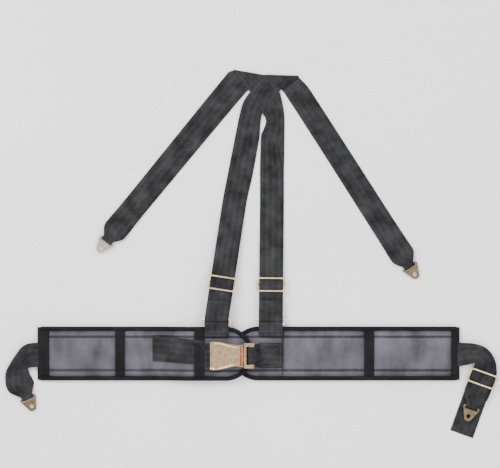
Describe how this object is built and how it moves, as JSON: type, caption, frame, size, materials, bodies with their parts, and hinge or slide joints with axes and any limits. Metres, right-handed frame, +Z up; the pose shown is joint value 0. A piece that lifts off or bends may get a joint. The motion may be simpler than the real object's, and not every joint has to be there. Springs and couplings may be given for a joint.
{
  "type": "racing harness",
  "caption": "Racing harness laid flat: padded lap belt with a lift-lever buckle, crossed and sewn shoulder straps with wire slides, and bolt-in brackets.",
  "frame": {"origin": "centre of the bounding box at the surface the harness lies on", "axes": "+X along the lap belt from the lever side to the tongue side, +Y from the lap belt to the shoulder crossing, +Z up off the surface"},
  "size_m": [0.9842, 0.7372, 0.0362],
  "materials": {
    "webbing": "woven, matt",
    "pad_nylon": "coated nylon, slight sheen",
    "edge_tape": "woven, matt",
    "foam": "closed-cell foam",
    "pale_zinc": "satin plated",
    "yellow_zinc": "satin plated",
    "gold_wire": "bright passivated",
    "buckle_metal": "satin plated",
    "spring_steel": "bright"
  },
  "bodies": {
    "left_half": {"rear_strap_left": "webbing", "rear_strap_right": "webbing", "shoulder_strap_left": "webbing", "shoulder_strap_right": "webbing", "adjuster_strap_left": "webbing", "ring_tab_left": "webbing", "lap_end_left": "webbing", "lap_webbing_left": "webbing", "belt_tail": "webbing", "pad_backing_left": "pad_nylon", "pad_face_left": "pad_nylon", "pad_foam_left": "foam", "pad_binding_left": "edge_tape", "webbing_sleeve_left": "pad_nylon", "cross_tape_left_outer": "edge_tape", "cross_tape_left_middle": "edge_tape", "cross_tape_left_inner": "edge_tape", "strap_ring_left": "gold_wire", "buckle_body": "buckle_metal", "buckle_hinge_pin": "spring_steel", "buckle_spring": "spring_steel"},
    "right_half": {"adjuster_strap_right": "webbing", "ring_tab_right": "webbing", "lap_end_right": "webbing", "lap_webbing_right": "webbing", "tongue_webbing": "webbing", "pad_backing_right": "pad_nylon", "pad_face_right": "pad_nylon", "pad_foam_right": "foam", "pad_binding_right": "edge_tape", "webbing_sleeve_right": "pad_nylon", "cross_tape_right_inner": "edge_tape", "cross_tape_right_outer": "edge_tape", "strap_ring_right": "gold_wire", "buckle_tongue": "buckle_metal"},
    "lever": {"buckle_lever": "buckle_metal"},
    "left_shoulder_adjuster": {"shoulder_slide_left": "gold_wire"},
    "right_shoulder_adjuster": {"shoulder_slide_right": "gold_wire"},
    "right_lap_adjuster": {"lap_slide_right": "gold_wire"},
    "shoulder_bracket_left_plate": {"shoulder_bracket_left": "pale_zinc"},
    "shoulder_bracket_right_plate": {"shoulder_bracket_right": "yellow_zinc"},
    "lap_bracket_left_plate": {"lap_bracket_left": "yellow_zinc"},
    "lap_bracket_right_plate": {"lap_bracket_right": "yellow_zinc"}
  },
  "joints": [
    {"name": "shoulder_bracket_left_swing", "type": "hinge", "parent": "left_half", "child": "shoulder_bracket_left_plate", "pos_m": [-0.28984, 0.02684, 0.00401], "axis": [-0.775, 0.632, 0], "range_deg": [-60, 60]},
    {"name": "shoulder_bracket_right_swing", "type": "hinge", "parent": "left_half", "child": "shoulder_bracket_right_plate", "pos_m": [0.31446, -0.02436, 0.00401], "axis": [-0.841, -0.541, 0], "range_deg": [-60, 60]},
    {"name": "lap_bracket_left_swing", "type": "hinge", "parent": "left_half", "child": "lap_bracket_left_plate", "pos_m": [-0.44844, -0.28686, 0.00401], "axis": [-0.9061, -0.423, 0], "range_deg": [-60, 60]},
    {"name": "lap_bracket_right_swing", "type": "hinge", "parent": "right_half", "child": "lap_bracket_right_plate", "pos_m": [0.43856, -0.30596, 0.00581], "axis": [-0.9404, 0.34, 0], "range_deg": [0, 60]},
    {"name": "shoulder_adjust_left", "type": "slide", "parent": "left_half", "child": "left_shoulder_adjuster", "axis": [0.1508, 0.9847, -0.0872], "range_m": [-0.012, 0.055]},
    {"name": "shoulder_adjust_right", "type": "slide", "parent": "right_half", "child": "right_shoulder_adjuster", "axis": [0.0105, 0.999, -0.0442], "range_m": [-0.012, 0.055]},
    {"name": "lap_adjust_right", "type": "slide", "parent": "right_half", "child": "right_lap_adjuster", "axis": [-0.34, -0.9404, 0], "range_m": [0, 0.035]},
    {"name": "buckle_release", "type": "slide", "parent": "left_half", "child": "right_half", "axis": [1, 0, 0], "range_m": [0, 0.035]},
    {"name": "lever_lift", "type": "hinge", "parent": "left_half", "child": "lever", "pos_m": [-0.02034, -0.20206, 0.0322], "axis": [0, 1, 0], "range_deg": [0, 90], "stiffness_Nm_per_rad": 0.02}
  ]
}
